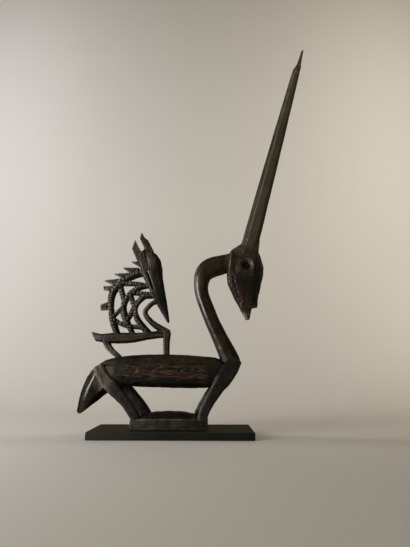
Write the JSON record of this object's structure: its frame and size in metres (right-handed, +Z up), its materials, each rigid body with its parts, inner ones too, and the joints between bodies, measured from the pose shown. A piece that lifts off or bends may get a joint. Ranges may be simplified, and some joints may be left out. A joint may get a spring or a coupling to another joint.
{
  "type": "chiwara headdress",
  "caption": "Carved wood headdress of a slender antelope with tall straight horns and a small antelope with an openwork mane on its back, set on a thin rectangular plinth.",
  "frame": {"origin": "centre of the plinth's underside", "axes": "+X towards the antelope's face, +Y towards its far side, +Z up"},
  "size_m": [0.484, 0.107, 0.8756],
  "materials": {
    "patinated_wood": "worn dark patina, semi-gloss where handled",
    "stained_board": "matt dark stain"
  },
  "bodies": {
    "root": {"headdress": "patinated_wood", "plinth": "stained_board"}
  },
  "joints": []
}
